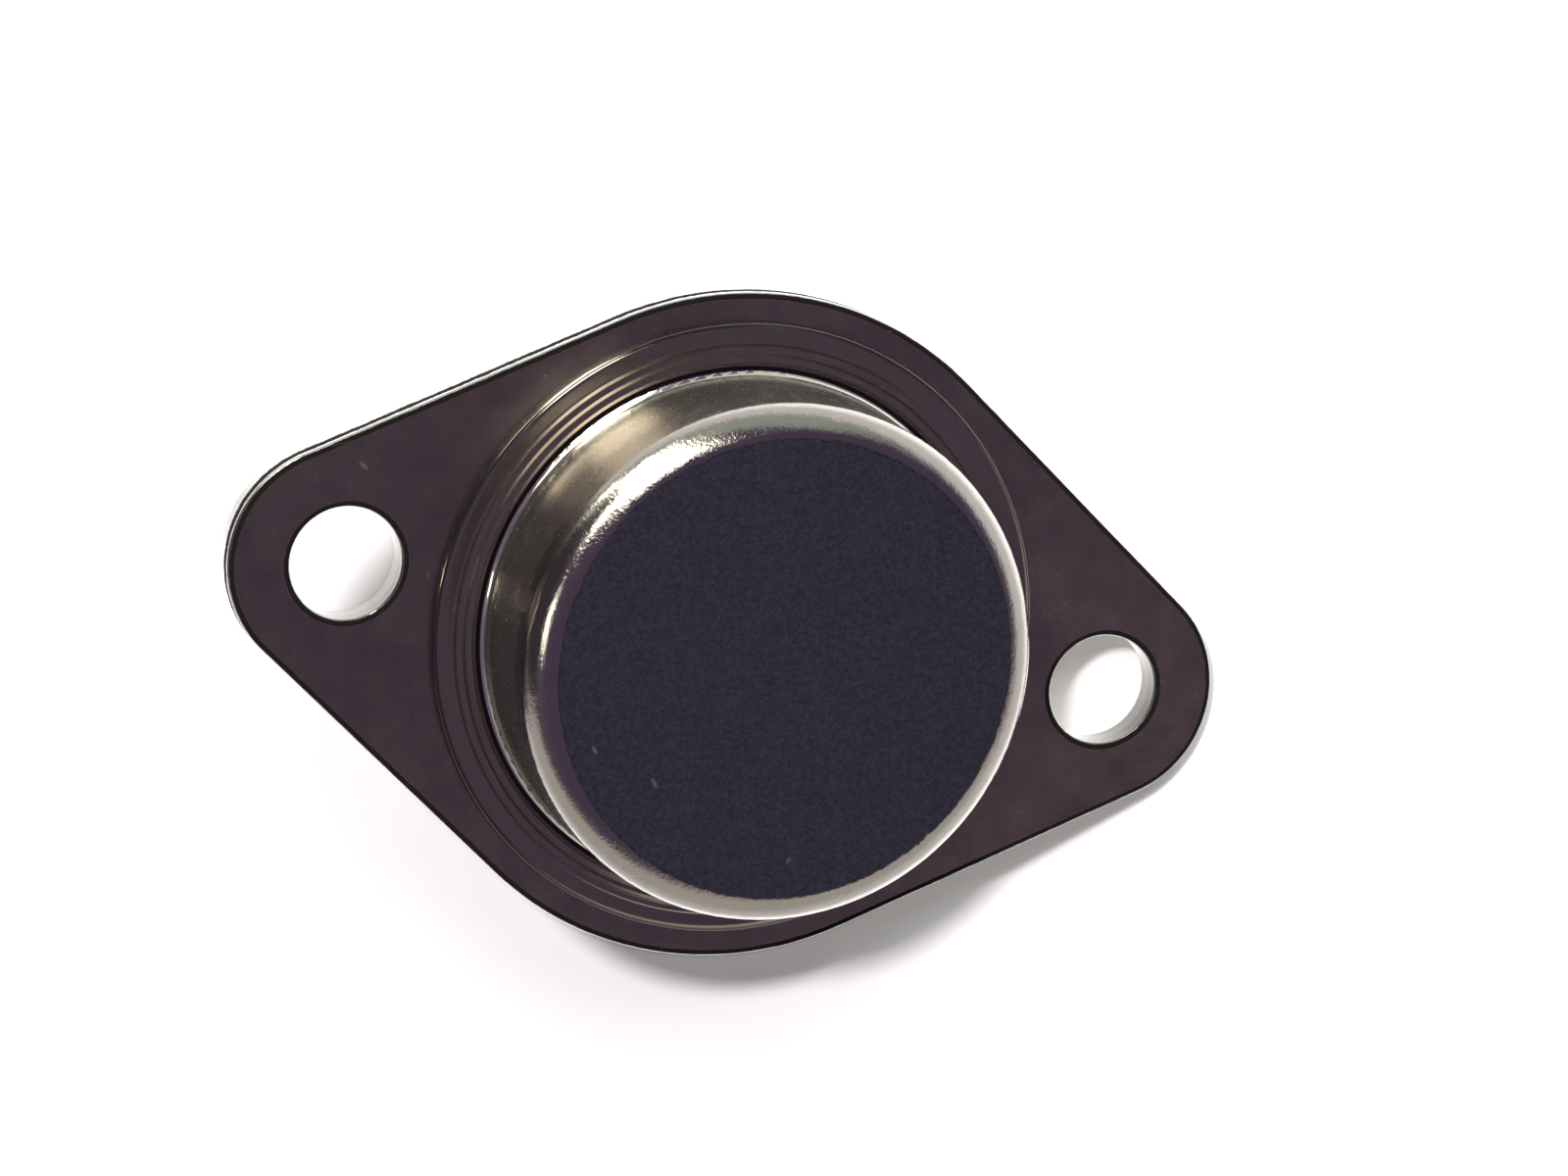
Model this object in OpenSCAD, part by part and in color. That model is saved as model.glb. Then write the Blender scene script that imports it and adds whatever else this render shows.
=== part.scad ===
// Power transistor in a two-lead metal can with a diamond-shaped mounting flange.
// The origin is the centre of the flange's seating face, +Z runs up through the can,
// and +X runs along the two screw holes, toward the hole that the leads stand nearer to.

/* [Header flange] */
// Distance between the centres of the two screw holes
hole_spacing = 30.15; // [28.5:0.05:32]
// Diameter of each screw hole
hole_diameter = 4.2; // [3.6:0.05:4.6]
// Width of the flange across its middle
flange_width = 25.3; // [24.4:0.1:27]
// Radius of the flange's rounded ends
flange_end_radius = 4.4; // [3.6:0.1:5.5]
// Thickness of the flange
flange_thickness = 1.4; // [1.2:0.05:3]
// Radius that the punch rolls onto the upper edges
edge_roll = 0.18; // [0.08:0.02:0.4]
// Chamfer on the lower outer edge
edge_break = 0.08; // [0.02:0.02:0.2]

/* [Cap] */
// Height of the cap's top above the seating face
overall_height = 8.1; // [7.6:0.05:11.5]
// Outer diameter of the cap's can
can_diameter = 19.3; // [17.6:0.05:20]
// Thickness of the sheet that the cap is drawn from
sheet = 0.4; // [0.3:0.05:0.6]
// Outer radius of the edge between the can's wall and its top
top_edge_radius = 1.3; // [0.9:0.1:2.4]
// Outer radius of the bend between the can's wall and its weld flange
root_radius = 0.26; // [0.2:0.02:0.7]
// Width of the weld flange, out from the can's wall
weld_flange_width = 1.94; // [1.6:0.02:2.2]
// Width of the flat land that the weld electrode presses along the flange's edge
land_width = 0.78; // [0.4:0.02:0.85]
// Slope in degrees to which the weld flange dishes up from that land before it meets the bend
dish_slope = 6; // [4:1:26]
// Rounding of the weld flange's upper edge
weld_edge_round = 0.12; // [0.04:0.02:0.18]

/* [Leads] */
// Diameter of each lead
lead_diameter = 1.05; // [0.8:0.05:1.4]
// Length of each lead below the seating face
lead_length = 12; // [6:0.5:16]
// Distance between the two leads
lead_spacing = 10.92; // [10.2:0.02:12.4]
// Distance of the leads' line from the middle of the flange
lead_offset = 1.815; // [0:0.005:2.4]
// Rounding of each lead's lower end
lead_tip_round = 0.24; // [0.05:0.01:0.38]
// Height of each lead's bonding head above the flange
post_height = 2.2; // [1.8:0.1:3.2]
// Diameter of the bonding head
head_diameter = 2; // [1.8:0.1:2.4]
// Thickness of the bonding head
head_thickness = 0.4; // [0.2:0.05:0.6]

/* [Glass seals] */
// Diameter of each glass seal
seal_diameter = 3.3; // [2.6:0.1:3.8]
// Depth of the glass below both faces of the flange
seal_recess = 0.12; // [0.05:0.01:0.3]
// Radius of the glass fillet that climbs the lead
meniscus_radius = 0.35; // [0.1:0.05:0.55]

/* [Heat spreader and die] */
// Distance of the die from the middle of the flange, away from the leads
die_offset = 1.8; // [0.5:0.1:2.6]
// Side of the square silicon die
die_side = 5; // [3.6:0.1:5.6]
// Thickness of the silicon die
die_thickness = 0.28; // [0.2:0.02:0.4]
// Width of the solder that shows around the die
solder_margin = 0.22; // [0.1:0.02:0.4]
// Thickness of the solder under the die
solder_thickness = 0.07; // [0.04:0.01:0.12]
// Length of the copper heat spreader
spreader_length = 10; // [7:0.5:11]
// Thickness of the copper heat spreader
spreader_thickness = 1.2; // [0.8:0.1:1.5]
// Corner radius of the copper heat spreader
spreader_corner = 1; // [0.4:0.1:2]
// Room between the heat spreader and each glass seal
spreader_clearance = 0.3; // [0.1:0.05:0.5]
// Thickness of the braze under the heat spreader
braze_thickness = 0.06; // [0.04:0.01:0.12]

/* [Bond wires] */
// Diameter of each bond wire
wire_diameter = 0.38; // [0.25:0.01:0.45]
// Room between the feet of the two wires on the emitter's bonding head
wire_gap = 0.38; // [0.3:0.02:0.5]
// Rise of a wire's loop above the line between its ends, for each unit of that line
loop_rise_share = 0.25; // [0.2:0.01:0.35]

/* [Hidden] */

$fn = 96;
flange_facets = 160;
roll_facets = 32;
overrun = 0.5;

hole_r = hole_diameter / 2;
hole_x = hole_spacing / 2;
lead_r = lead_diameter / 2;
lead_y = lead_spacing / 2;
seal_r = seal_diameter / 2;
head_r = head_diameter / 2;
wire_r = wire_diameter / 2;

can_r = can_diameter / 2;
can_height = overall_height - flange_thickness;
bend_foot_r = can_r + root_radius;
weld_flange_r = can_r + weld_flange_width;
land_r = weld_flange_r - land_width;
dish_r = can_r + root_radius * (1 - sin(dish_slope));
dish_radius = (land_r - dish_r) / sin(dish_slope);
dish_z = sheet + dish_radius * (1 - cos(dish_slope));
bend_z = dish_z + root_radius * cos(dish_slope);

spreader_width = lead_spacing - seal_diameter - 2 * spreader_clearance;
solder_side = die_side + 2 * solder_margin;
spreader_z = flange_thickness + braze_thickness;
solder_z = spreader_z + spreader_thickness;
die_z = solder_z + solder_thickness;
die_top = die_z + die_thickness;
head_top = flange_thickness + post_height;

// A bond's flattened foot, sized from its wire
foot_length_share = 2.6;
foot_width_share = 1.5;
foot_height_share = 0.5;
foot_length = wire_diameter * foot_length_share;
foot_width = wire_diameter * foot_width_share;
foot_height = wire_diameter * foot_height_share;
wire_pitch = foot_width + wire_gap;

// Where the wires land on the die, from its centre, for each unit of its side
emitter_pad_shares = [[0.24, -0.24], [-0.12, -0.24]];
base_pad_shares = [0.24, 0.3];

emitter_side = -1;
base_side = 1;

plating = [0.36, 0.33, 0.33];
cap_plating = [0.33, 0.32, 0.36];
lead_plating = [0.62, 0.6, 0.56];
seal_glass = [0.2, 0.24, 0.22];
copper = [0.72, 0.42, 0.28];
solder = [0.6, 0.6, 0.62];
silicon = [0.24, 0.25, 0.3];
aluminium = [0.8, 0.8, 0.82];

// The room between a square corner at the origin, which opens toward +X and +Y, and its rounding.
// A margin carries the room past the corner, for a cut.
module corner_room(radius, margin = 0) {
    difference() {
        translate([-margin, -margin]) square(radius + margin);
        translate([radius, radius]) circle(r = radius);
    }
}

// What an outer corner at the origin, with its body below and left, loses to a rounding
module corner_waste(radius) {
    rotate(180) corner_room(radius, overrun);
}

// A round disc of flange stock: rolled upper edge, chamfered lower edge
module flange_disc(radius) {
    cylinder(h = edge_break, r1 = radius - edge_break, r2 = radius, $fn = flange_facets);
    translate([0, 0, edge_break])
        cylinder(h = flange_thickness - edge_break - edge_roll, r = radius, $fn = flange_facets);
    translate([0, 0, flange_thickness - edge_roll])
        rotate_extrude($fn = flange_facets)
            translate([radius - edge_roll, 0])
                circle(r = edge_roll, $fn = roll_facets);
}

// The stamped diamond: a wide middle drawn out to a round end over each screw hole
module flange_blank() {
    hull() {
        flange_disc(flange_width / 2);
        for (side = [-1, 1])
            translate([side * hole_x, 0, 0])
                flange_disc(flange_end_radius);
    }
}

// The room of a punched screw hole, whose upper edge the punch rolled over
module screw_hole() {
    rotate_extrude() {
        translate([0, -overrun]) square([hole_r, flange_thickness + 2 * overrun]);
        translate([hole_r, flange_thickness]) mirror([0, 1]) corner_room(edge_roll, overrun);
    }
}

module at_lead(side) {
    translate([lead_offset, side * lead_y, 0]) children();
}

module header_flange() {
    color(plating)
        difference() {
            flange_blank();
            for (side = [-1, 1])
                translate([side * hole_x, 0, 0]) screw_hole();
            for (side = [emitter_side, base_side])
                at_lead(side)
                    translate([0, 0, -overrun])
                        cylinder(h = flange_thickness + 2 * overrun, r = seal_r);
        }
}

// A block from the axis out to a radius, hollowed from above by a circle
module hollowed(radius, height, centre, circle_r) {
    difference() {
        square([radius, height]);
        translate(centre) circle(r = circle_r);
    }
}

// Outer half-section of the cap: flat weld land, dish and bend that run tangent into each other, wall, rounded top
module cap_outside() {
    difference() {
        union() {
            square([weld_flange_r, sheet]);
            hollowed(land_r, dish_z, [land_r, sheet + dish_radius], dish_radius);
            hollowed(dish_r, bend_z, [bend_foot_r, bend_z], root_radius);
            square([can_r, can_height]);
        }
        translate([can_r, can_height]) corner_waste(top_edge_radius);
        translate([weld_flange_r, sheet]) corner_waste(weld_edge_round);
    }
}

// Half-section of the room inside the cap, one sheet in from the outside
module cap_inside() {
    difference() {
        translate([0, -overrun]) square([can_r - sheet, can_height - sheet + overrun]);
        translate([can_r - sheet, can_height - sheet]) corner_waste(top_edge_radius - sheet);
    }
    difference() {
        translate([0, -overrun]) square([bend_foot_r, root_radius + sheet + overrun]);
        translate([bend_foot_r, root_radius + sheet]) circle(r = root_radius + sheet);
    }
}

module cap() {
    color(cap_plating)
        translate([0, 0, flange_thickness])
            rotate_extrude()
                difference() {
                    cap_outside();
                    cap_inside();
                }
}

// A lead: round wire with a rounded lower end and an upset head for the bond wires
module lead(side) {
    color(lead_plating)
        at_lead(side)
            rotate_extrude() {
                difference() {
                    translate([0, -lead_length]) square([lead_r, lead_length + head_top]);
                    translate([lead_r, -lead_length]) mirror([0, 1]) corner_waste(lead_tip_round);
                }
                translate([0, head_top - head_thickness]) square([head_r, head_thickness]);
            }
}

module emitter_lead() {
    lead(emitter_side);
}

module base_lead() {
    lead(base_side);
}

// A glass bead fused between its lead and the flange, with a fillet up the lead on each side
module seal(side) {
    bead_height = flange_thickness - 2 * seal_recess;
    color(seal_glass)
        at_lead(side)
            rotate_extrude()
                translate([lead_r, seal_recess]) {
                    square([seal_r - lead_r, bead_height]);
                    translate([0, bead_height]) corner_room(meniscus_radius);
                    mirror([0, 1]) corner_room(meniscus_radius);
                }
}

module emitter_seal() {
    seal(emitter_side);
}

module base_seal() {
    seal(base_side);
}

// A flat pad under the die: a rectangle with rounded corners, centred on the die
module pad(length, width, height, corner) {
    translate([-die_offset, 0, 0])
        linear_extrude(height) {
            square([length - 2 * corner, width], center = true);
            square([length, width - 2 * corner], center = true);
            for (side_x = [-1, 1], side_y = [-1, 1])
                translate([side_x * (length / 2 - corner), side_y * (width / 2 - corner)])
                    circle(r = corner);
        }
}

module spreader_braze() {
    color(solder)
        translate([0, 0, flange_thickness])
            pad(spreader_length, spreader_width, braze_thickness, spreader_corner);
}

module heat_spreader() {
    color(copper)
        translate([0, 0, spreader_z])
            pad(spreader_length, spreader_width, spreader_thickness, spreader_corner);
}

module die_solder() {
    color(solder)
        translate([0, 0, solder_z])
            pad(solder_side, solder_side, solder_thickness, solder_margin);
}

module silicon_die() {
    color(silicon)
        translate([-die_offset - die_side / 2, -die_side / 2, die_z])
            cube([die_side, die_side, die_thickness]);
}

// A bond's foot, pressed flat along the wire's direction
module bond_foot(heading) {
    foot_reach = (foot_length - foot_width) / 2;
    rotate([0, 0, heading])
        linear_extrude(foot_height) {
            square([2 * foot_reach, foot_width], center = true);
            for (side = [-1, 1])
                translate([side * foot_reach, 0]) circle(d = foot_width);
        }
}

// A bond wire: one round loop in an upright plane between two flattened feet
module bond_wire(start, finish) {
    run = finish - start;
    level = norm([run[0], run[1]]);
    heading = atan2(run[1], run[0]);
    slope = atan2(run[2], level);
    span = norm(run);
    rise = span * loop_rise_share;
    loop_r = (span * span / 4 + rise * rise) / (2 * rise);
    half_turn = asin(span / (2 * loop_r));
    drop = loop_r - rise;
    color(aluminium)
        difference() {
            union() {
                translate(start + [0, 0, foot_height / 2])
                    rotate([90, 0, heading])
                        translate([level / 2 + drop * sin(slope), run[2] / 2 - drop * cos(slope), 0])
                            rotate([0, 0, 90 + slope - half_turn])
                                rotate_extrude(angle = 2 * half_turn)
                                    translate([loop_r, 0]) circle(r = wire_r);
                translate(start) bond_foot(heading);
                translate(finish) bond_foot(heading);
            }
            for (end = [start, finish])
                translate(end - [0, 0, wire_diameter])
                    cylinder(h = wire_diameter, r = foot_length);
        }
}

// A place on the emitter's or the base's bonding head
function on_head(side, shift) = [lead_offset + shift, side * lead_y, head_top];

// A place on top of the die, from a pair of shares of its side
function on_die(shares) = [die_side * shares[0] - die_offset, die_side * shares[1], die_top];

module emitter_wire_1() {
    bond_wire(on_head(emitter_side, wire_pitch / 2), on_die(emitter_pad_shares[0]));
}

module emitter_wire_2() {
    bond_wire(on_head(emitter_side, -wire_pitch / 2), on_die(emitter_pad_shares[1]));
}

module base_wire() {
    bond_wire(on_head(base_side, 0), on_die(base_pad_shares));
}

header_flange();
cap();
emitter_lead();
base_lead();
emitter_seal();
base_seal();
spreader_braze();
heat_spreader();
die_solder();
silicon_die();
emitter_wire_1();
emitter_wire_2();
base_wire();
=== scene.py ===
"""Looks of a power transistor: a nickel-plated can welded to a diamond-shaped flange, on a white table."""

import math

import bpy
from mathutils import Matrix, Quaternion, Vector


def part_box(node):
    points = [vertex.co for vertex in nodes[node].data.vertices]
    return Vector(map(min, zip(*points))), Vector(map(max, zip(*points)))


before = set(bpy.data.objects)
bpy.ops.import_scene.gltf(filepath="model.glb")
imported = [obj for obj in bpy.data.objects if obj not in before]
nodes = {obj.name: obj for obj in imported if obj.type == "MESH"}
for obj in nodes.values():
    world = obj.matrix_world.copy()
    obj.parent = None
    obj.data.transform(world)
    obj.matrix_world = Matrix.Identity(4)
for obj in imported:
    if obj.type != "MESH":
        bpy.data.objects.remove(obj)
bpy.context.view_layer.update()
scene = bpy.context.scene

MM = 0.001

# Sizes read from the frame

FLANGE_LOW, FLANGE_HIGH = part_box("header_flange")
CAP_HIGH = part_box("cap")[1]
LEAD_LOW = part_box("base_lead")[0]
DIE_LOW, DIE_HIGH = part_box("silicon_die")


# Shader nodes

def place(tree, kind, sockets=None, **settings):
    """Adds a node, and fills its sockets with values or links."""
    made = tree.nodes.new(kind)
    for name, value in settings.items():
        setattr(made, name, value)
    for key, value in (sockets or {}).items():
        if isinstance(value, bpy.types.NodeSocket):
            tree.links.new(value, made.inputs[key])
        else:
            made.inputs[key].default_value = value
    return made


def calc(tree, operation, first, second=0.0, third=0.0):
    """The value of one sum."""
    return place(tree, "ShaderNodeMath", {0: first, 1: second, 2: third}, operation=operation).outputs[0]


def vector_calc(tree, operation, first, second=(0, 0, 0)):
    """The vector, length or product that comes of one sum of vectors."""
    made = place(tree, "ShaderNodeVectorMath", {0: first, 1: second}, operation=operation)
    return made.outputs["Value" if operation in ("LENGTH", "DOT_PRODUCT") else "Vector"]


def split(tree, vector):
    """The parts of a vector, by the names X, Y and Z."""
    return place(tree, "ShaderNodeSeparateXYZ", {"Vector": vector}).outputs


def ramp(tree, value, low, high, to_low=0.0, to_high=1.0, smooth=True):
    """A value carried from one range to another, and held at its ends."""
    sockets = {"Value": value, "From Min": low, "From Max": high, "To Min": to_low, "To Max": to_high}
    kind = "SMOOTHSTEP" if smooth else "LINEAR"
    return place(tree, "ShaderNodeMapRange", sockets, interpolation_type=kind).outputs["Result"]


def band(tree, value, low, high, soft):
    """One between two limits, with soft ends."""
    rise = ramp(tree, value, low - soft, low + soft)
    fall = ramp(tree, value, high - soft, high + soft, 1.0, 0.0)
    return calc(tree, "MULTIPLY", rise, fall)


def blend(tree, share, under, over):
    """Two colours mixed by a share."""
    return place(tree, "ShaderNodeMix", {0: share, 6: under, 7: over}, data_type="RGBA").outputs[2]


def noise(tree, where, grain, detail=2.0, rough=0.5, stretch=None):
    """Noise whose grain is about this many metres across."""
    if stretch:
        where = place(tree, "ShaderNodeMapping", {"Vector": where, "Scale": stretch}).outputs[0]
    sockets = {"Vector": where, "Scale": 1.0 / grain, "Detail": detail, "Roughness": rough}
    return place(tree, "ShaderNodeTexNoise", sockets).outputs["Fac"]


def start_group(name, inputs, outputs):
    """An empty shader group with its named sockets."""
    group = bpy.data.node_groups.new(name, "ShaderNodeTree")
    for label, kind, value in inputs:
        socket = group.interface.new_socket(label, in_out="INPUT", socket_type=kind)
        if value is not None:
            socket.default_value = value
    for label, kind in outputs:
        group.interface.new_socket(label, in_out="OUTPUT", socket_type=kind)
    return group, place(group, "NodeGroupInput"), place(group, "NodeGroupOutput")


def use_group(tree, group, sockets):
    """The outputs of a shader group placed in a material."""
    return place(tree, "ShaderNodeGroup", sockets, node_tree=group).outputs


# Effects shared by the finishes

BROAD_GRAIN = 0.16
HAIR_RUNS = ((0.5, 14.0), (1.9, 9.0), (2.7, 18.0))
HAIR_GRAIN = 1.6 * MM
HAIR_PATCH = 3.0 * MM
HAIR_WIDTH = 0.003
NICKS_PER_METRE = 900.0
NICK_CHANCE = 0.93
NICK_GRAIN = 0.1 * MM
TARNISH_BROAD = 6.0 * MM
TARNISH_SMALL = 1.1 * MM


def plate_grain():
    """Fine satin grain of plated metal: a tone from dark to light, and a height."""
    group, given, result = start_group(
        "plate_grain",
        [("Position", "NodeSocketVector", None), ("Grain", "NodeSocketFloat", 0.1 * MM)],
        [("Tone", "NodeSocketFloat"), ("Height", "NodeSocketFloat")],
    )
    scale = calc(group, "DIVIDE", 1.0, given.outputs["Grain"])
    fine = place(group, "ShaderNodeTexNoise", {
        "Vector": given.outputs["Position"], "Scale": scale, "Detail": 3.0, "Roughness": 0.6,
    }).outputs["Fac"]
    broad = place(group, "ShaderNodeTexNoise", {
        "Vector": given.outputs["Position"], "Scale": calc(group, "MULTIPLY", scale, BROAD_GRAIN),
        "Detail": 2.0, "Roughness": 0.5,
    }).outputs["Fac"]
    tone = calc(group, "ADD", calc(group, "MULTIPLY", fine, 0.6), calc(group, "MULTIPLY", broad, 0.4))
    group.links.new(ramp(group, tone, 0.3, 0.7, smooth=False), result.inputs["Tone"])
    group.links.new(fine, result.inputs["Height"])
    return group


def handling_marks():
    """Sparse hair scratches, each run turned and drawn out in its own way, and nicks: a mask."""
    group, given, result = start_group(
        "handling_marks",
        [("Position", "NodeSocketVector", None), ("Amount", "NodeSocketFloat", 0.5)],
        [("Mask", "NodeSocketFloat")],
    )
    where = given.outputs["Position"]
    mask = 0.0
    for turn, along in HAIR_RUNS:
        turned = place(group, "ShaderNodeMapping", {"Vector": where, "Rotation": (0, 0, turn)}).outputs[0]
        field = noise(group, turned, HAIR_GRAIN, 1.0, 0.4, stretch=(1.0 / along, 1.0, 1.0))
        near = calc(group, "ABSOLUTE", calc(group, "SUBTRACT", field, 0.5))
        hair = ramp(group, near, 0.0, HAIR_WIDTH, 1.0, 0.0)
        patch = ramp(group, noise(group, turned, HAIR_PATCH, 1.0), 0.66, 0.76)
        mask = calc(group, "MAXIMUM", mask, calc(group, "MULTIPLY", hair, patch))
    cells = place(group, "ShaderNodeTexVoronoi", {"Vector": where, "Scale": NICKS_PER_METRE})
    nick = ramp(group, cells.outputs["Distance"], 0.02, 0.07, 1.0, 0.0)
    chosen = place(group, "ShaderNodeSeparateColor", {"Color": cells.outputs["Color"]}).outputs[0]
    nick = calc(group, "MULTIPLY", nick, calc(group, "GREATER_THAN", chosen, NICK_CHANCE))
    mask = calc(group, "MULTIPLY", calc(group, "MAXIMUM", mask, nick), given.outputs["Amount"])
    group.links.new(mask, result.inputs["Mask"])
    return group


def single_nick():
    """One short nick at a place, turned about the upright: a mask."""
    group, given, result = start_group(
        "single_nick",
        [
            ("Position", "NodeSocketVector", None), ("Place", "NodeSocketVector", None),
            ("Turn", "NodeSocketFloat", 0.0), ("Reach", "NodeSocketVector", None),
        ],
        [("Mask", "NodeSocketFloat")],
    )
    offset = vector_calc(group, "SUBTRACT", given.outputs["Position"], given.outputs["Place"])
    turned = place(group, "ShaderNodeVectorRotate", {
        "Vector": offset, "Angle": given.outputs["Turn"],
    }, rotation_type="Z_AXIS").outputs[0]
    far = vector_calc(group, "LENGTH", vector_calc(group, "DIVIDE", turned, given.outputs["Reach"]))
    ragged = calc(group, "MULTIPLY", noise(group, given.outputs["Position"], NICK_GRAIN), 0.9)
    group.links.new(ramp(group, calc(group, "ADD", far, ragged), 0.7, 1.3, 1.0, 0.0), result.inputs["Mask"])
    return group


def tarnish():
    """Broad cloudy tone of an old plating: a value around one half."""
    group, given, result = start_group(
        "tarnish",
        [("Position", "NodeSocketVector", None)],
        [("Cloud", "NodeSocketFloat")],
    )
    where = given.outputs["Position"]
    broad = noise(group, where, TARNISH_BROAD, 3.0, 0.55)
    small = noise(group, where, TARNISH_SMALL, 3.0, 0.6)
    both = calc(group, "ADD", calc(group, "MULTIPLY", broad, 0.65), calc(group, "MULTIPLY", small, 0.35))
    group.links.new(ramp(group, both, 0.3, 0.7, smooth=False), result.inputs["Cloud"])
    return group


GRAIN = plate_grain()
MARKS = handling_marks()
NICK = single_nick()
TARNISH = tarnish()


# What every finish begins and ends with

MARK_LIGHT = (0.66, 0.63, 0.60, 1)


def start_material(name):
    """A material with its shader, and the position and upward facing that its patterns follow."""
    material = bpy.data.materials.new(name)
    material.use_nodes = True
    tree = material.node_tree
    shader = tree.nodes["Principled BSDF"]
    position = place(tree, "ShaderNodeTexCoord").outputs["Object"]
    facing = split(tree, place(tree, "ShaderNodeNewGeometry").outputs["Normal"])["Z"]
    return material, tree, shader, position, facing


def raise_surface(tree, shader, height):
    """Carries a height in metres to the shader's normal."""
    bump = place(tree, "ShaderNodeBump", {"Height": height, "Distance": 1.0, "Strength": 1.0})
    tree.links.new(bump.outputs["Normal"], shader.inputs["Normal"])


def add_nicks(tree, position, mask, nicks):
    """The mask with single nicks added: place, turn, reach along and across, and strength of each."""
    for where, turn, along, across, strength in nicks:
        nick = use_group(tree, NICK, {
            "Position": position, "Place": Vector(where) * MM, "Turn": turn,
            "Reach": Vector((along, across, across)) * MM,
        })["Mask"]
        mask = calc(tree, "MAXIMUM", mask, calc(tree, "MULTIPLY", nick, strength))
    return mask


def show_marks(tree, shader, colour, marks, shine=1.0):
    """Scratched metal scatters the light that it no longer mirrors, and so does a hazy plating."""
    tree.links.new(blend(tree, marks, colour, MARK_LIGHT), shader.inputs["Base Color"])
    unmarked = ramp(tree, marks, 0.0, 1.0, 1.0, 0.15, smooth=False)
    tree.links.new(calc(tree, "MULTIPLY", unmarked, shine), shader.inputs["Metallic"])


# The flange's finish

FLANGE_FLAT = (0.190, 0.160, 0.145, 1)
FLANGE_CLOUD = (0.292, 0.250, 0.220, 1)
# Painted highlight: the rolled edge and the outer wall get lighter copies of the plating than the flats.
FLANGE_EDGE_PAINTED_HIGHLIGHT = (0.38, 0.37, 0.35, 1)
FLANGE_WALL_PAINTED_HIGHLIGHT = (0.47, 0.46, 0.44, 1)
DARK_LINE_COLOUR = (0.010, 0.008, 0.008, 1)
# Painted shade: the bore walls get a darker copy of the plating.
BORE_WALL_PAINTED_SHADE = (0.13, 0.128, 0.115, 1)
WALL_BAND_COLOUR = (0.030, 0.027, 0.026, 1)
FLANGE_SHINE = 0.98
FLANGE_GRAIN = 0.16 * MM
FLANGE_GRAIN_HEIGHT = 0.0025 * MM
FLANGE_NICKS = (
    ((15.24, -3.67, FLANGE_HIGH.z / MM), 0.6, 0.34, 0.14, 0.14),
    ((11.97, -0.08, FLANGE_HIGH.z / MM), 1.2, 0.22, 0.10, 0.10),
)
HOLE_X = 15.075 * MM
HOLE_R = 2.1 * MM
SIDE_R = FLANGE_HIGH.y
END_R = FLANGE_HIGH.x - HOLE_X
TAPER = (SIDE_R - END_R) / HOLE_X
SLANT = math.sqrt(1 - TAPER * TAPER)
RIM_DARK_LINE_START = 0.06 * MM
RIM_DARK_LINE_END = 0.255 * MM
RIM_DARK_LINE_SOFT = 0.006 * MM
RIM_RAGGED = 0.03 * MM
WALL_BAND_DEPTH = 0.50 * MM
WALL_BAND_HALF_WIDTH = 0.21 * MM
WALL_BAND_SOFT = 0.04 * MM
WALL_BAND_RAGGED = 0.18 * MM
BORE_BAND_SHARE = 0.25


def rim_distance(tree, where):
    """Level distance from the flange's nearest rim: a side arc, a straight edge, an end arc or a hole."""
    along = calc(tree, "ABSOLUTE", where["X"])
    across = calc(tree, "ABSOLUTE", where["Y"])
    square = calc(tree, "MULTIPLY", across, across)
    aside = calc(tree, "SUBTRACT", along, HOLE_X)
    from_hole = calc(tree, "SQRT", calc(tree, "MULTIPLY_ADD", aside, aside, square))
    from_middle = calc(tree, "SQRT", calc(tree, "MULTIPLY_ADD", along, along, square))
    side = calc(tree, "SUBTRACT", SIDE_R, from_middle)
    lean = calc(tree, "MULTIPLY_ADD", along, TAPER, calc(tree, "MULTIPLY", across, SLANT))
    straight = calc(tree, "SUBTRACT", SIDE_R, lean)
    end = calc(tree, "SUBTRACT", END_R, from_hole)
    step = calc(tree, "SUBTRACT", calc(tree, "MULTIPLY", along, SLANT), calc(tree, "MULTIPLY", across, TAPER))
    rim = side
    for start, part in ((0.0, straight), (SLANT * HOLE_X, end)):
        past = calc(tree, "GREATER_THAN", step, start)
        rim = calc(tree, "MULTIPLY_ADD", past, calc(tree, "SUBTRACT", part, rim), rim)
    return calc(tree, "MINIMUM", rim, calc(tree, "SUBTRACT", from_hole, HOLE_R)), from_hole


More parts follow.
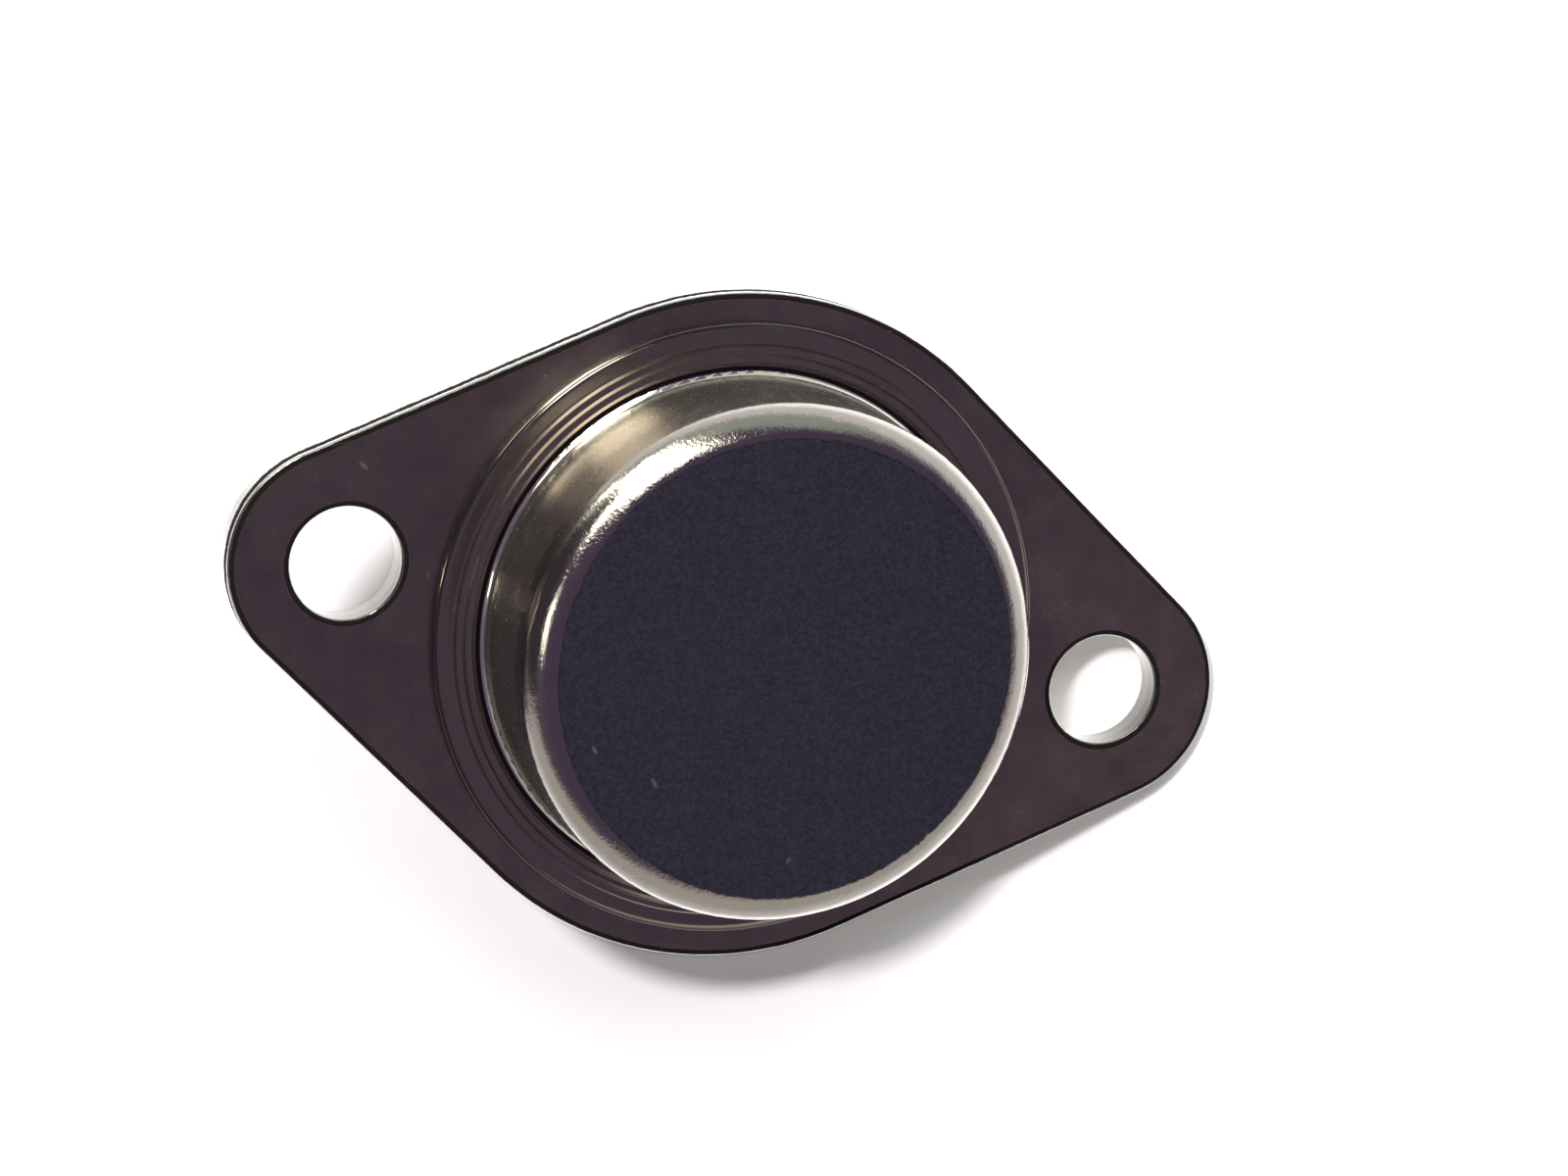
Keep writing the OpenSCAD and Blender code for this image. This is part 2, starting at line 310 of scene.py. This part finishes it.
def flange_plating():
    """Nickel on the stamped flange: dark satin flats, a dark line along each rim, painted highlights on the rolled
    edge and outer wall, painted shade on the bore walls, and a dark ragged band on the walls.
    """
    material, tree, shader, position, facing = start_material("flange_plating")
    where = split(tree, position)
    level = calc(tree, "ABSOLUTE", facing)
    rim, from_hole = rim_distance(tree, where)
    grain = use_group(tree, GRAIN, {"Position": position, "Grain": FLANGE_GRAIN})
    cloud = use_group(tree, TARNISH, {"Position": position})["Cloud"]
    marks = use_group(tree, MARKS, {"Position": position, "Amount": 0.1})["Mask"]
    marks = add_nicks(tree, position, marks, FLANGE_NICKS)

    flat = blend(tree, cloud, FLANGE_FLAT, FLANGE_CLOUD)
    flat = blend(tree, calc(tree, "MULTIPLY", grain["Tone"], 0.4), flat, FLANGE_CLOUD)
    # Painted highlight: the rolled edge is lighter than the flats.
    colour = blend(tree, ramp(tree, level, 0.80, 0.72), flat, FLANGE_EDGE_PAINTED_HIGHLIGHT)
    # A dark, dull line along each rim of the flats and the bores.
    ragged = calc(tree, "MULTIPLY_ADD", grain["Tone"], RIM_RAGGED, rim)
    rim_dark_line = band(tree, ragged, RIM_DARK_LINE_START, RIM_DARK_LINE_END, RIM_DARK_LINE_SOFT)
    rim_dark_line = calc(tree, "MULTIPLY", rim_dark_line, ramp(tree, facing, 0.2, 0.4))
    colour = blend(tree, rim_dark_line, colour, DARK_LINE_COLOUR)

    upright = ramp(tree, level, 0.5, 0.2)
    bore = ramp(tree, from_hole, HOLE_R + 0.08 * MM, HOLE_R + 0.04 * MM)
    # A dark, dull ragged band along the side walls, fainter in the bores.
    band_wobble = calc(tree, "MULTIPLY", calc(tree, "SUBTRACT", grain["Tone"], 0.5), WALL_BAND_RAGGED)
    depth = calc(tree, "SUBTRACT", FLANGE_HIGH.z, calc(tree, "ADD", where["Z"], band_wobble))
    wall_dark_band = band(tree, depth, WALL_BAND_DEPTH - WALL_BAND_HALF_WIDTH, WALL_BAND_DEPTH + WALL_BAND_HALF_WIDTH, WALL_BAND_SOFT)
    wall_dark_band = calc(tree, "MULTIPLY", wall_dark_band, ramp(tree, bore, 0.0, 1.0, 1.0, BORE_BAND_SHARE))
    # The outer wall carries a painted highlight and the bore walls painted shade; the dark band lies over both.
    wall = blend(tree, wall_dark_band, blend(tree, bore, FLANGE_WALL_PAINTED_HIGHLIGHT, BORE_WALL_PAINTED_SHADE), WALL_BAND_COLOUR)
    colour = blend(tree, upright, colour, wall)

    dull = calc(tree, "MAXIMUM", calc(tree, "MULTIPLY", wall_dark_band, upright), rim_dark_line)
    show_marks(tree, shader, colour, marks, ramp(tree, dull, 0.0, 1.0, FLANGE_SHINE, 0.0))
    satin = ramp(tree, grain["Tone"], 0.0, 1.0, 0.16, 0.24)
    rough = calc(tree, "ADD", satin, calc(tree, "MULTIPLY", cloud, 0.05))
    tree.links.new(calc(tree, "MAXIMUM", rough, dull), shader.inputs["Roughness"])
    tree.links.new(ramp(tree, dull, 0.0, 1.0, 0.5, 0.05), shader.inputs["Specular IOR Level"])
    raise_surface(tree, shader, calc(tree, "MULTIPLY", grain["Height"], FLANGE_GRAIN_HEIGHT))
    return material


# The cap's finish

CAP_TOP = (0.0157, 0.0150, 0.0222, 1)
CAP_TOP_LIGHT = (0.0254, 0.0243, 0.0348, 1)
CAP_EDGE = (0.370, 0.352, 0.318, 1)
CAP_WALL = (0.255, 0.238, 0.212, 1)
CAP_ROOT_PAINTED_HIGHLIGHT = (0.80, 0.77, 0.69, 1)
CAP_SKIRT = (0.255, 0.235, 0.190, 1)
CAP_SKIRT_PALE = (0.50, 0.47, 0.39, 1)
WELD_EDGE = (0.115, 0.106, 0.096, 1)
CAP_SHINE = 0.965
WALL_SHINE = 0.925
TOP_SHINE = 0.06
CAP_GRAIN = 0.12 * MM
TOP_GRAIN_HEIGHT = 0.012 * MM
WALL_GRAIN_HEIGHT = 0.002 * MM
CAP_NICKS = (
    ((6.50, 3.99, CAP_HIGH.z / MM), 0.9, 0.26, 0.10, 0.16),
    ((4.01, 4.86, CAP_HIGH.z / MM), 0.9, 0.36, 0.12, 0.13),
    ((-1.69, 6.92, CAP_HIGH.z / MM), 1.9, 0.24, 0.14, 0.10),
)
UPPER_PART = 2.0 * MM
TOP_RAGGED = 0.016
TOP_FACING_START = 0.980
TOP_FACING_FULL = 0.991
TOP_MATT_START = 0.94
CAN_R = 9.65 * MM
ROOT_R = 9.91 * MM
WELD_FLANGE_R = CAP_HIGH.x
STREAK_PITCH = 0.09 * MM
PRESS_RING_R = 10.02 * MM
PRESS_RING_PITCH = 0.35 * MM
PRESS_RINGS_FADE = 10.45 * MM
PRESS_RINGS_FAINT = 10.85 * MM
PRESS_RINGS_END = 10.88 * MM
PRESS_RING_HEIGHT = 0.036 * MM
WELD_LIP_START = WELD_FLANGE_R - 0.29 * MM
WELD_LIP_END = WELD_FLANGE_R - 0.12 * MM
WELD_LIP_DROP = 0.045 * MM


def press_rings(tree, radius, drawn):
    """Height of the drawing rings on the weld flange, fainter toward its edge, and of the drop at its lip."""
    phase = calc(tree, "FRACT", calc(tree, "DIVIDE", calc(tree, "SUBTRACT", radius, PRESS_RING_R), PRESS_RING_PITCH))
    climb = ramp(tree, phase, 0.0, 0.32, smooth=False)
    descent = ramp(tree, phase, 0.36, 0.92, 1.0, 0.0, smooth=False)
    ring = calc(tree, "MULTIPLY", calc(tree, "MULTIPLY", climb, descent), drawn)
    height = ramp(tree, radius, PRESS_RINGS_FADE, PRESS_RINGS_FAINT, PRESS_RING_HEIGHT, 0.5 * PRESS_RING_HEIGHT)
    lip = ramp(tree, radius, WELD_LIP_START, WELD_LIP_END, smooth=False)
    lip = calc(tree, "MULTIPLY", calc(tree, "MULTIPLY", lip, lip), WELD_LIP_DROP)
    return calc(tree, "SUBTRACT", calc(tree, "MULTIPLY", ring, height), lip)


def cap_plating():
    """Finish of the drawn cap: matt dark top, bright rounded edge, glossy wall, a painted highlight in the root
    fillet, a dark band round the root, drawing rings on the weld flange.
    """
    material, tree, shader, position, facing = start_material("cap_plating")
    where = split(tree, position)
    level = place(tree, "ShaderNodeCombineXYZ", {"X": where["X"], "Y": where["Y"]}).outputs[0]
    radius = vector_calc(tree, "LENGTH", level)
    grain = use_group(tree, GRAIN, {"Position": position, "Grain": CAP_GRAIN})
    cloud = use_group(tree, TARNISH, {"Position": position})["Cloud"]
    marks = use_group(tree, MARKS, {"Position": position, "Amount": 0.06})["Mask"]
    marks = add_nicks(tree, position, marks, CAP_NICKS)

    ragged = calc(tree, "MULTIPLY", calc(tree, "SUBTRACT", grain["Tone"], 0.5), TOP_RAGGED)
    flat = ramp(tree, calc(tree, "ADD", facing, ragged), TOP_FACING_START, TOP_FACING_FULL)
    upper = calc(tree, "GREATER_THAN", where["Z"], CAP_HIGH.z - UPPER_PART)
    matt = calc(tree, "MULTIPLY", flat, upper)
    top = blend(tree, ramp(tree, grain["Height"], 0.35, 0.65), CAP_TOP, CAP_TOP_LIGHT)

    around = vector_calc(tree, "MULTIPLY", vector_calc(tree, "NORMALIZE", level), (7.0, 7.0, 7.0))
    outward = place(tree, "ShaderNodeCombineXYZ", {"Z": calc(tree, "DIVIDE", radius, STREAK_PITCH)}).outputs[0]
    streak = noise(tree, vector_calc(tree, "ADD", around, outward), 1.0)
    drawn = band(tree, radius, PRESS_RING_R, PRESS_RINGS_END, 0.04 * MM)
    pale = calc(tree, "MULTIPLY", drawn, ramp(tree, streak, 0.5, 0.8))
    skirt = blend(tree, cloud, CAP_SKIRT, FLANGE_CLOUD)
    skirt = blend(tree, calc(tree, "MULTIPLY", pale, 0.35), skirt, CAP_SKIRT_PALE)
    skirt = blend(tree, ramp(tree, radius, WELD_FLANGE_R - 0.2 * MM, WELD_LIP_END), skirt, WELD_EDGE)

    round_part = blend(tree, ramp(tree, facing, 0.0, 0.35), CAP_WALL, CAP_EDGE)
    round_part = blend(tree, calc(tree, "MULTIPLY", cloud, 0.3), round_part, CAP_WALL)
    can = blend(tree, matt, round_part, top)
    # Painted highlight: the fillet at the can's root gets a much lighter copy of the plating.
    bend = band(tree, radius, CAN_R + 0.03 * MM, ROOT_R - 0.09 * MM, 0.01 * MM)
    can = blend(tree, bend, can, CAP_ROOT_PAINTED_HIGHLIGHT)
    colour = blend(tree, ramp(tree, radius, ROOT_R - 0.10 * MM, ROOT_R - 0.06 * MM), can, skirt)
    # A dark band round the can's root, between the fillet and the drawing rings.
    root_dark_band = band(tree, radius, ROOT_R - 0.08 * MM, PRESS_RING_R - 0.02 * MM, 0.015 * MM)
    colour = blend(tree, calc(tree, "MULTIPLY", root_dark_band, 0.92), colour, DARK_LINE_COLOUR)

    hazy = ramp(tree, facing, 0.2, 0.8, WALL_SHINE, CAP_SHINE)
    bright = calc(tree, "MAXIMUM", calc(tree, "MAXIMUM", upper, bend), hazy)
    shine = calc(tree, "MULTIPLY", bright, ramp(tree, matt, TOP_MATT_START, 1.0, 1.0, TOP_SHINE))
    marks = calc(tree, "MULTIPLY", marks, ramp(tree, matt, 0.0, 1.0, 1.0, 0.5))
    show_marks(tree, shader, colour, marks, shine)
    tree.links.new(ramp(tree, matt, TOP_MATT_START, 1.0, 0.5, 0.0), shader.inputs["Specular IOR Level"])
    satin = ramp(tree, grain["Tone"], 0.0, 1.0, 0.08, 0.16)
    rough = calc(tree, "ADD", satin, calc(tree, "MULTIPLY", matt, 0.2))
    rough = calc(tree, "ADD", rough, ramp(tree, facing, 0.05, 0.3, 0.12, 0.0))
    tree.links.new(rough, shader.inputs["Roughness"])

    grained = calc(tree, "MULTIPLY", ramp(tree, facing, 0.05, 0.4), upper)
    coarse = ramp(tree, grained, 0.0, 1.0, WALL_GRAIN_HEIGHT, TOP_GRAIN_HEIGHT)
    depth = calc(tree, "MULTIPLY", grain["Height"], coarse)
    raise_surface(tree, shader, calc(tree, "ADD", depth, press_rings(tree, radius, drawn)))
    return material


# The finishes of the leads, the seals and the pieces inside the can

BUBBLES_PER_METRE = 9000.0
BUBBLE_HEIGHT = 0.006 * MM
METAL_GRAIN_HEIGHT = 0.003 * MM
CONTACT_FINGERS = 12
CONTACT_REACH = 0.44
DIE_GRAIN = 0.05 * MM


def plain_metal(name, dark, light, grain_size, roughness):
    """A bare metal with its grain, cloudiness and handling marks."""
    material, tree, shader, position, _ = start_material(name)
    grain = use_group(tree, GRAIN, {"Position": position, "Grain": grain_size})
    cloud = use_group(tree, TARNISH, {"Position": position})["Cloud"]
    marks = use_group(tree, MARKS, {"Position": position, "Amount": 0.2})["Mask"]
    colour = blend(tree, cloud, dark, light)
    colour = blend(tree, calc(tree, "MULTIPLY", grain["Tone"], 0.3), colour, dark)
    show_marks(tree, shader, colour, marks)
    rough = ramp(tree, grain["Tone"], 0.0, 1.0, roughness - 0.06, roughness + 0.08)
    tree.links.new(rough, shader.inputs["Roughness"])
    raise_surface(tree, shader, calc(tree, "MULTIPLY", grain["Height"], METAL_GRAIN_HEIGHT))
    return material


def seal_glass():
    """Dark fused glass with fine bubbles and cloudy streaks."""
    material, tree, shader, position, _ = start_material("seal_glass")
    cloud = use_group(tree, TARNISH, {"Position": position})["Cloud"]
    cells = place(tree, "ShaderNodeTexVoronoi", {"Vector": position, "Scale": BUBBLES_PER_METRE})
    bubble = ramp(tree, cells.outputs["Distance"], 0.1, 0.25, 1.0, 0.0)
    colour = blend(tree, cloud, (0.03, 0.045, 0.042, 1), (0.06, 0.085, 0.075, 1))
    colour = blend(tree, calc(tree, "MULTIPLY", bubble, 0.25), colour, (0.22, 0.26, 0.24, 1))
    tree.links.new(colour, shader.inputs["Base Color"])
    tree.links.new(ramp(tree, cloud, 0.0, 1.0, 0.06, 0.16), shader.inputs["Roughness"])
    raise_surface(tree, shader, calc(tree, "MULTIPLY", bubble, BUBBLE_HEIGHT))
    return material


def silicon_contacts():
    """Dark polished silicon under a comb of aluminium contact fingers."""
    material, tree, shader, position, facing = start_material("silicon_contacts")
    grain = use_group(tree, GRAIN, {"Position": position, "Grain": DIE_GRAIN})
    where = split(tree, position)
    finger_pitch = (DIE_HIGH.y - DIE_LOW.y) / CONTACT_FINGERS
    phase = calc(tree, "FRACT", calc(tree, "DIVIDE", where["Y"], finger_pitch))
    finger = ramp(tree, calc(tree, "ABSOLUTE", calc(tree, "SUBTRACT", phase, 0.5)), 0.26, 0.3, 1.0, 0.0)
    middle = (DIE_LOW.x + DIE_HIGH.x) / 2
    reach = calc(tree, "ABSOLUTE", calc(tree, "SUBTRACT", where["X"], middle))
    inside = calc(tree, "LESS_THAN", reach, (DIE_HIGH.x - DIE_LOW.x) * CONTACT_REACH)
    metal = calc(tree, "MULTIPLY", calc(tree, "MULTIPLY", finger, inside), ramp(tree, facing, 0.9, 0.99))
    bare = blend(tree, grain["Tone"], (0.10, 0.11, 0.15, 1), (0.14, 0.15, 0.19, 1))
    tree.links.new(blend(tree, metal, bare, (0.72, 0.72, 0.74, 1)), shader.inputs["Base Color"])
    tree.links.new(metal, shader.inputs["Metallic"])
    tree.links.new(ramp(tree, grain["Tone"], 0.0, 1.0, 0.16, 0.3), shader.inputs["Roughness"])
    return material


FINISHES = {
    "header_flange": flange_plating(),
    "cap": cap_plating(),
    "heat_spreader": plain_metal("spreader_copper", (0.50, 0.22, 0.13, 1), (0.66, 0.33, 0.2, 1), 0.2 * MM, 0.34),
    "spreader_braze": plain_metal("braze", (0.5, 0.42, 0.3, 1), (0.66, 0.58, 0.44, 1), 0.2 * MM, 0.4),
    "die_solder": plain_metal("soft_solder", (0.34, 0.34, 0.36, 1), (0.48, 0.48, 0.5, 1), 0.3 * MM, 0.42),
    "silicon_die": silicon_contacts(),
}
LEAD_PLATE = plain_metal("lead_plating", (0.34, 0.32, 0.30, 1), (0.5, 0.48, 0.45, 1), 0.15 * MM, 0.3)
GLASS = seal_glass()
WIRE = plain_metal("bond_wire", (0.6, 0.6, 0.62, 1), (0.72, 0.72, 0.74, 1), 0.1 * MM, 0.32)
FINISHES |= {name: LEAD_PLATE for name in ("emitter_lead", "base_lead")}
FINISHES |= {name: GLASS for name in ("emitter_seal", "base_seal")}
FINISHES |= {name: WIRE for name in ("emitter_wire_1", "emitter_wire_2", "base_wire")}


# The object's pieces

CREASE = math.cos(math.radians(32))


def soften(piece):
    """Shades the piece's facets as the smooth surface that they follow, with its sharp edges kept."""
    mesh = piece.data
    places = [tuple(round(v / MM, 4) for v in vertex.co) for vertex in mesh.vertices]
    meeting = {}
    for face in mesh.polygons:
        for corner in face.vertices:
            meeting.setdefault(places[corner], []).append((face.normal.copy(), face.area))
    normals = []
    for face in mesh.polygons:
        for corner in face.vertices:
            near = (n * area for n, area in meeting[places[corner]] if n.dot(face.normal) > CREASE)
            total = sum(near, Vector())
            normals.append(total.normalized() if total.length else face.normal)
    mesh.normals_split_custom_set(normals)


for name, piece in nodes.items():
    piece.data.materials.clear()
    piece.data.materials.append(FINISHES[name])
    soften(piece)


# Table, room, lamps and camera

CAMERA_PLACE = Vector((77.178, -39.191, 216.897)) * MM
CAMERA_RIGHT = Vector((-0.927612, -0.221686, 0.300651))
CAMERA_UP = Vector((0.157161, -0.961771, -0.224269))
CAMERA_BACK = CAMERA_RIGHT.cross(CAMERA_UP).normalized()
CAMERA_LENS = 143.69

TABLE_HALF = 1.5
TABLE_CLEARANCE = 0.1 * MM
PAPER_DARK = (0.87, 0.865, 0.855, 1)
PAPER_LIGHT = (0.89, 0.885, 0.875, 1)
PAPER_GRAIN = 4.0 * MM
VIEWER_SIDE = (0.998, 0.07, 0.0)


def table_white():
    """White paper that keeps the shadow, fades to plain white far out, and lights the metal from close by."""
    material = bpy.data.materials.new("table_white")
    material.use_nodes = True
    tree = material.node_tree
    tree.nodes.clear()
    path = place(tree, "ShaderNodeLightPath").outputs
    position = place(tree, "ShaderNodeTexCoord").outputs["Object"]
    reach = vector_calc(tree, "LENGTH", position)
    far = ramp(tree, reach, 0.06, 0.25)
    # Painted shade: on the viewer's side, from a few centimetres out, the paper is dark in the metal's reflections
    # only.
    toward = vector_calc(tree, "DOT_PRODUCT", vector_calc(tree, "NORMALIZE", position), VIEWER_SIDE)
    dim = calc(tree, "MULTIPLY", ramp(tree, toward, 0.80, 0.90), ramp(tree, reach, 0.034, 0.046))
    dim = calc(tree, "MULTIPLY", dim, path["Is Glossy Ray"])

    paper = blend(tree, noise(tree, position, PAPER_GRAIN, 3.0), PAPER_DARK, PAPER_LIGHT)
    paper = blend(tree, calc(tree, "MAXIMUM", far, calc(tree, "MULTIPLY", dim, 0.9)), paper, (0, 0, 0, 1))
    matt = place(tree, "ShaderNodeBsdfDiffuse", {"Color": paper}).outputs[0]

    to_eye = calc(tree, "MULTIPLY", path["Is Camera Ray"], far)
    sheen = calc(tree, "ADD", ramp(tree, reach, 0.026, 0.038, 1.1, 0.0), calc(tree, "MULTIPLY", far, 0.85))
    in_metal = calc(tree, "MULTIPLY", path["Is Glossy Ray"], sheen)
    in_metal = calc(tree, "MULTIPLY", in_metal, ramp(tree, dim, 0.0, 1.0, 1.0, 0.1))
    glow = calc(tree, "ADD", to_eye, in_metal)
    white = place(tree, "ShaderNodeEmission", {"Color": (1, 1, 1, 1), "Strength": glow}).outputs[0]
    lit = place(tree, "ShaderNodeAddShader", {0: matt, 1: white}).outputs[0]

    behind = place(tree, "ShaderNodeNewGeometry").outputs["Backfacing"]
    hidden = calc(tree, "MULTIPLY", behind, path["Is Camera Ray"])
    clear = place(tree, "ShaderNodeBsdfTransparent").outputs[0]
    out = place(tree, "ShaderNodeMixShader", {0: hidden, 1: lit, 2: clear}).outputs[0]
    tree.links.new(out, place(tree, "ShaderNodeOutputMaterial").inputs["Surface"])
    return material


def table_top():
    """White table under the lead tips and the low end of the flange, seen from above only."""
    lean = math.atan2(FLANGE_LOW.z - LEAD_LOW.z, LEAD_LOW.x - FLANGE_LOW.x)
    corners = [(x * TABLE_HALF, y * TABLE_HALF, 0) for x, y in ((-1, -1), (1, -1), (1, 1), (-1, 1))]
    mesh = bpy.data.meshes.new("table_top")
    mesh.from_pydata(corners, [], [(0, 1, 2, 3)])
    mesh.materials.append(table_white())
    table = bpy.data.objects.new("table_top", mesh)
    scene.collection.objects.link(table)
    tip = Vector((LEAD_LOW.x, 0, LEAD_LOW.z - TABLE_CLEARANCE))
    table.matrix_world = Matrix.Translation(tip) @ Matrix.Rotation(lean, 4, "Y")


ROOM_PALE = (0.85, 0.785, 0.745, 1)
ROOM_GREY = (0.66, 0.71, 0.66, 1)
ROOM_DIM = (0.19, 0.150, 0.200, 1)
CEILING_DIM = (0.140, 0.100, 0.175, 1)
VIEWER_DIM = (0.085, 0.068, 0.085, 1)
ROOM_LIGHT = 0.12
# Each part of the room: its heading, and the angles from it at which the part ends and is full
ROOM_CORNER = ((-0.76, -0.52, 0.39), 34, 12)
NEAR_CEILING = ((0.542, 0.011, 0.840), 63, 57)
FAR_CEILING = ((-0.511, -0.212, 0.833), 31, 25)
VIEWER = ((0.993, 0.051, -0.102), 34, 27)


def room():
    """White to the eye. In the metal it has pale walls, a dim ceiling over the viewer, and the viewer's dim side."""
    world = bpy.data.worlds.new("room")
    world.use_nodes = True
    tree = world.node_tree
    tree.nodes.clear()
    heading = place(tree, "ShaderNodeTexCoord").outputs["Generated"]
    parts = split(tree, heading)

    def within(part):
        centre, end, full = part
        turn = vector_calc(tree, "DOT_PRODUCT", heading, centre)
        return ramp(tree, turn, math.cos(math.radians(end)), math.cos(math.radians(full)))

    colour = blend(tree, ramp(tree, parts["Y"], -0.2, -0.7), ROOM_PALE, ROOM_GREY)
    colour = blend(tree, calc(tree, "MULTIPLY", within(ROOM_CORNER), 0.6), colour, ROOM_DIM)
    dim = blend(tree, ramp(tree, parts["Z"], 0.25, 0.70), ROOM_DIM, CEILING_DIM)
    colour = blend(tree, calc(tree, "MAXIMUM", within(NEAR_CEILING), within(FAR_CEILING)), colour, dim)
    colour = blend(tree, within(VIEWER), colour, VIEWER_DIM)
    path = place(tree, "ShaderNodeLightPath").outputs
    colour = blend(tree, path["Is Camera Ray"], colour, (1, 1, 1, 1))
    seen = calc(tree, "MAXIMUM", path["Is Camera Ray"], path["Is Glossy Ray"])
    seen = calc(tree, "MAXIMUM", seen, path["Is Transmission Ray"])
    strength = ramp(tree, seen, 0.0, 1.0, ROOM_LIGHT, 1.0)
    sky = place(tree, "ShaderNodeBackground", {"Color": colour, "Strength": strength})
    tree.links.new(sky.outputs[0], place(tree, "ShaderNodeOutputWorld").inputs["Surface"])
    scene.world = world


PANE_DISTANCE = 0.45
LAMP_DISTANCE = 0.6
PANE_COLOUR = (1.0, 0.97, 0.82)
# Each pane: its heading, width, height, roll and brightness
PANES = {
    "window_tall": ((0.546, -0.696, 0.466), 0.137, 0.64, 0.125, 14.0),
    "window_side": ((0.68, -0.43, 0.60), 0.10, 0.12, 0.0, 10.0),
    "window_low": ((0.796, -0.555, -0.24), 0.03, 0.06, 0.0, 20.0),
    "small_lamp": ((0.857, 0.14, 0.498), 0.022, 0.022, 0.0, 110.0),
}


def hang_lamp(name, kind, toward, distance, energy, mirrored, roll=0.0, **shape):
    """Hangs a lamp in a direction from the object, turned to it: one that the metal mirrors, or one that lights."""
    data = bpy.data.lights.new(name, kind)
    data.energy = energy
    for key, value in shape.items():
        setattr(data, key, value)
    lamp = bpy.data.objects.new(name, data)
    lamp.location = toward.normalized() * distance
    lamp.rotation_euler = (toward.to_track_quat("Z", "Y") @ Quaternion((0, 0, 1), roll)).to_euler()
    lamp.visible_glossy = mirrored
    lamp.visible_diffuse = not mirrored
    scene.collection.objects.link(lamp)


def lights():
    """Window panes and a small lamp that the metal mirrors, and the lamps that light the table and the scratches."""
    for name, (toward, width, height, roll, glow) in PANES.items():
        energy = glow * math.pi * width * height
        hang_lamp(name, "AREA", Vector(toward), PANE_DISTANCE, energy, True, roll,
                  shape="RECTANGLE", size=width, size_y=height, color=PANE_COLOUR)
    left, up = -CAMERA_RIGHT, CAMERA_UP
    hang_lamp("ceiling_lamp", "AREA", CAMERA_BACK + left * 0.165 + up * 0.165, LAMP_DISTANCE, 2.9, False,
              shape="DISK", size=0.05, color=(1.0, 0.92, 0.96))
    hang_lamp("soft_lamp", "AREA", CAMERA_BACK - left * 0.06 + up * 0.34, LAMP_DISTANCE, 1.4, False,
              shape="DISK", size=0.22, color=(0.96, 1.0, 0.96))
    hang_lamp("window_light", "AREA", Vector((0.483, -0.714, 0.506)), PANE_DISTANCE, 0.45, False,
              shape="RECTANGLE", size=0.2, size_y=0.4)
    hang_lamp("fill_lamp", "POINT", CAMERA_PLACE, CAMERA_PLACE.length, 0.55, False, shadow_soft_size=0.003)


def photo_camera():
    """The photograph's view: a long lens above the lead end of the flange."""
    right = CAMERA_UP.cross(CAMERA_BACK).normalized()
    up = CAMERA_BACK.cross(right)
    data = bpy.data.cameras.new("photo_camera")
    data.sensor_width = 36
    data.lens = CAMERA_LENS
    data.clip_start = 0.01
    data.clip_end = 20
    camera = bpy.data.objects.new("photo_camera", data)
    turn = Matrix((right, up, CAMERA_BACK)).transposed().to_4x4()
    camera.matrix_world = Matrix.Translation(CAMERA_PLACE) @ turn
    scene.collection.objects.link(camera)
    scene.camera = camera


table_top()
room()
lights()
photo_camera()
scene.view_settings.view_transform = "Standard"
